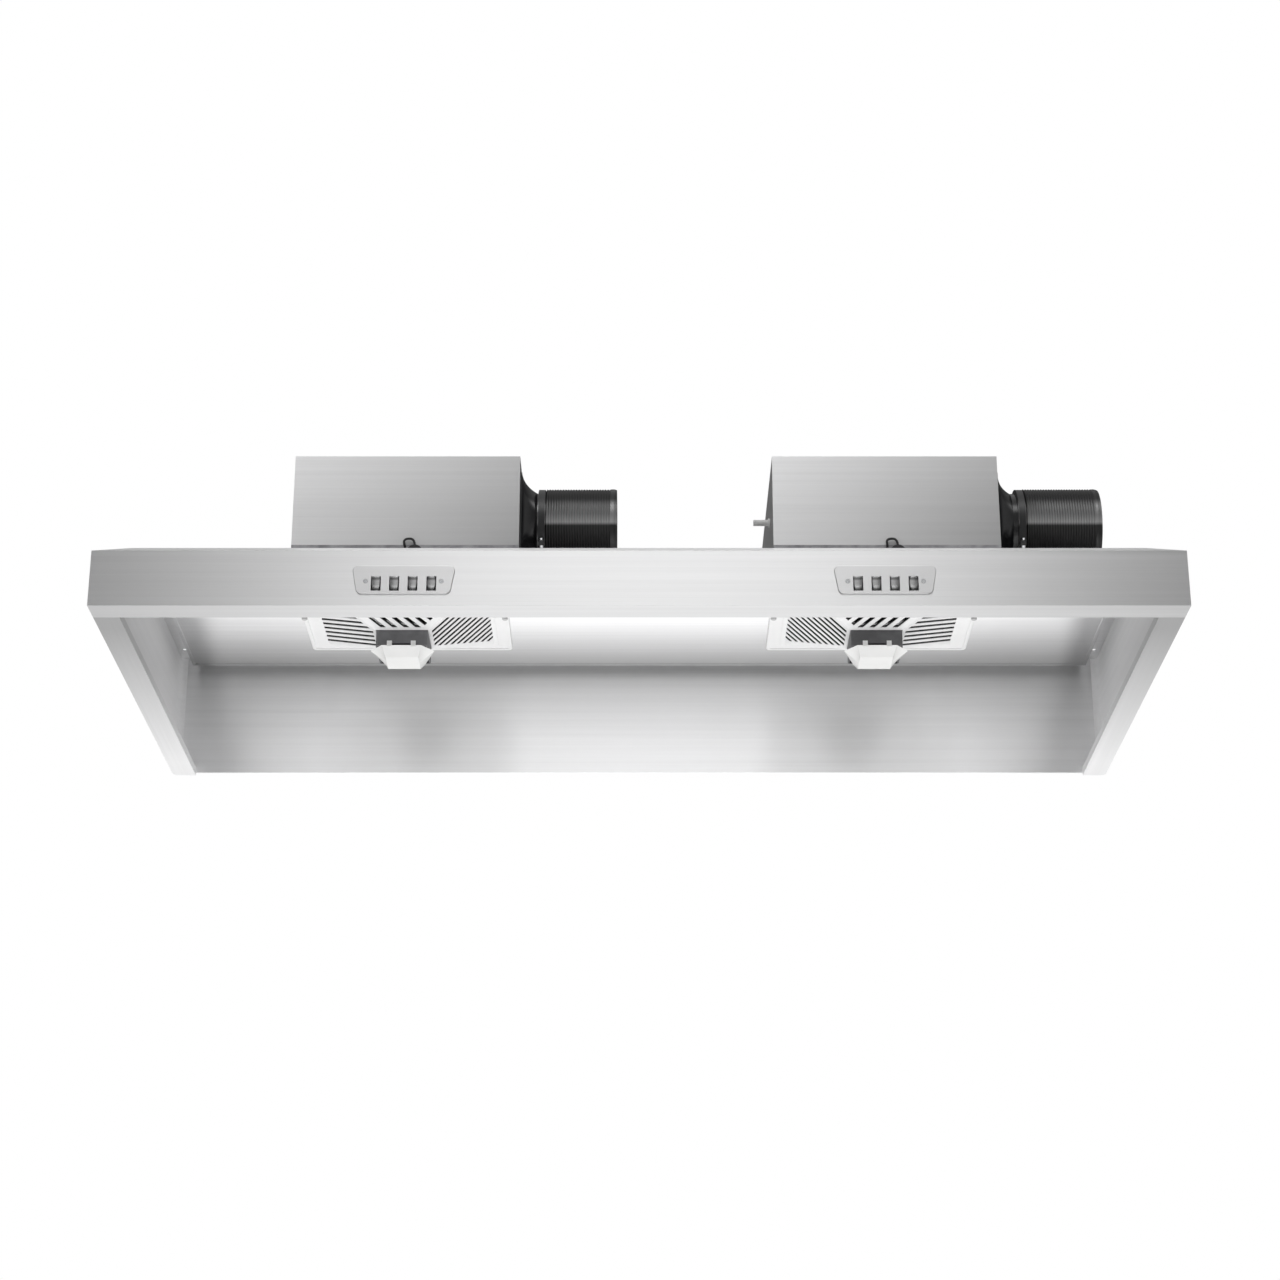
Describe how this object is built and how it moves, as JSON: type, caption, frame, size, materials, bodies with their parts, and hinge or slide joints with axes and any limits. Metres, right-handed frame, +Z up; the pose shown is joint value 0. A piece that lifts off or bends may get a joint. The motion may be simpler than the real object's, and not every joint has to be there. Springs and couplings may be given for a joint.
{
  "type": "under cabinet range hood",
  "caption": "Wide stainless under-cabinet range hood with twin blower boxes, side duct hoses, push-key panels, slatted grease grilles and oil cups.",
  "frame": {"origin": "middle of the whole hood in plan, at the height of the bottom rim", "axes": "+X to the right of someone facing the controls, +Y towards the wall, +Z up"},
  "size_m": [1.2, 0.5824, 0.284],
  "materials": {
    "stainless": "lengthwise brushed stainless",
    "bezel_metal": "satin silver paint",
    "key_chrome": "bright plated plastic",
    "zinc_screw": "bright zinc",
    "grey_foam": "closed cell foam",
    "zinc_sheet": "galvanised",
    "shaft_steel": "ground",
    "grey_plastic": "moulded",
    "white_plastic": "semi gloss moulded",
    "black_plastic": "moulded",
    "black_hose": "ribbed satin film",
    "black_rubber": "matt",
    "dark_grey_plastic": "moulded",
    "cup_plastic": "milky translucent",
    "lamp_lens": "frosted diffuser"
  },
  "bodies": {
    "canopy": {"front_fascia": "stainless", "top_plate": "stainless", "back_panel": "stainless", "ceiling_panel": "stainless", "bezel_screws": "zinc_screw", "box_screws": "zinc_screw", "clamp_screws": "zinc_screw", "cable_gland": "white_plastic", "side_panel_left": "stainless", "side_panel_right": "stainless", "switch_bezel_left": "bezel_metal", "switch_bezel_right": "bezel_metal", "switch_bank_left": "grey_plastic", "switch_bank_right": "grey_plastic", "blower_box_left": "stainless", "blower_box_right": "stainless", "box_gasket_left": "grey_foam", "box_gasket_right": "grey_foam", "scroll_left": "grey_plastic", "scroll_right": "grey_plastic", "motor_left": "zinc_sheet", "motor_right": "zinc_sheet", "motor_bracket_left": "zinc_sheet", "motor_bracket_right": "zinc_sheet", "capacitor_left": "white_plastic", "capacitor_right": "white_plastic", "duct_adapter_left": "black_plastic", "duct_adapter_right": "black_plastic", "duct_hose_left": "black_hose", "duct_hose_right": "black_hose", "hose_clamp_left": "black_plastic", "hose_clamp_right": "black_plastic", "lead_loop_left": "black_rubber", "lead_loop_right": "black_rubber", "lead_grommet_left": "black_rubber", "lead_grommet_right": "black_rubber", "lamp_left": "lamp_lens", "lamp_right": "lamp_lens"},
    "key_left_1_body": {"key_left_1": "key_chrome"},
    "key_left_2_body": {"key_left_2": "key_chrome"},
    "key_left_3_body": {"key_left_3": "key_chrome"},
    "key_left_4_body": {"key_left_4": "key_chrome"},
    "fan_left": {"impeller_left": "grey_plastic", "motor_shaft_left": "shaft_steel"},
    "flap_left": {"damper_flap_left": "black_plastic"},
    "filter_left": {"grille_left": "white_plastic", "grease_collar_left": "dark_grey_plastic", "grille_knobs_left": "dark_grey_plastic"},
    "cup_left": {"oil_cup_left": "cup_plastic"},
    "key_right_1_body": {"key_right_1": "key_chrome"},
    "key_right_2_body": {"key_right_2": "key_chrome"},
    "key_right_3_body": {"key_right_3": "key_chrome"},
    "key_right_4_body": {"key_right_4": "key_chrome"},
    "fan_right": {"impeller_right": "grey_plastic", "motor_shaft_right": "shaft_steel"},
    "flap_right": {"damper_flap_right": "black_plastic"},
    "filter_right": {"grille_right": "white_plastic", "grease_collar_right": "dark_grey_plastic", "grille_knobs_right": "dark_grey_plastic"},
    "cup_right": {"oil_cup_right": "cup_plastic"}
  },
  "joints": [
    {"name": "key_left_1_press", "type": "slide", "parent": "canopy", "child": "key_left_1_body", "axis": [0, 1, 0], "range_m": [0, 0.003], "stiffness_N_per_m": 300, "springref_m": -0.002},
    {"name": "key_left_2_press", "type": "slide", "parent": "canopy", "child": "key_left_2_body", "axis": [0, 1, 0], "range_m": [0, 0.003], "stiffness_N_per_m": 300, "springref_m": -0.002},
    {"name": "key_left_3_press", "type": "slide", "parent": "canopy", "child": "key_left_3_body", "axis": [0, 1, 0], "range_m": [0, 0.003], "stiffness_N_per_m": 300, "springref_m": -0.002},
    {"name": "key_left_4_press", "type": "slide", "parent": "canopy", "child": "key_left_4_body", "axis": [0, 1, 0], "range_m": [0, 0.003], "stiffness_N_per_m": 300, "springref_m": -0.002},
    {"name": "fan_left_spin", "type": "hinge", "parent": "canopy", "child": "fan_left", "pos_m": [-0.278, 0.07825, 0.21], "axis": [0, 0, 1], "continuous": true},
    {"name": "flap_left_swing", "type": "hinge", "parent": "canopy", "child": "flap_left", "pos_m": [-0.109, 0.00125, 0.2225], "axis": [0, -1, 0], "range_deg": [0, 75]},
    {"name": "filter_left_lift_out", "type": "slide", "parent": "canopy", "child": "filter_left", "axis": [0, 0, -1], "range_m": [0, 0.15]},
    {"name": "cup_left_pull_off", "type": "slide", "parent": "filter_left", "child": "cup_left", "axis": [0, 0, -1], "range_m": [0, 0.06]},
    {"name": "key_right_1_press", "type": "slide", "parent": "canopy", "child": "key_right_1_body", "axis": [0, 1, 0], "range_m": [0, 0.003], "stiffness_N_per_m": 300, "springref_m": -0.002},
    {"name": "key_right_2_press", "type": "slide", "parent": "canopy", "child": "key_right_2_body", "axis": [0, 1, 0], "range_m": [0, 0.003], "stiffness_N_per_m": 300, "springref_m": -0.002},
    {"name": "key_right_3_press", "type": "slide", "parent": "canopy", "child": "key_right_3_body", "axis": [0, 1, 0], "range_m": [0, 0.003], "stiffness_N_per_m": 300, "springref_m": -0.002},
    {"name": "key_right_4_press", "type": "slide", "parent": "canopy", "child": "key_right_4_body", "axis": [0, 1, 0], "range_m": [0, 0.003], "stiffness_N_per_m": 300, "springref_m": -0.002},
    {"name": "fan_right_spin", "type": "hinge", "parent": "canopy", "child": "fan_right", "pos_m": [0.2945, 0.07825, 0.21], "axis": [0, 0, 1], "continuous": true},
    {"name": "flap_right_swing", "type": "hinge", "parent": "canopy", "child": "flap_right", "pos_m": [0.4635, 0.00125, 0.2225], "axis": [0, -1, 0], "range_deg": [0, 75]},
    {"name": "filter_right_lift_out", "type": "slide", "parent": "canopy", "child": "filter_right", "axis": [0, 0, -1], "range_m": [0, 0.15]},
    {"name": "cup_right_pull_off", "type": "slide", "parent": "filter_right", "child": "cup_right", "axis": [0, 0, -1], "range_m": [0, 0.06]}
  ]
}
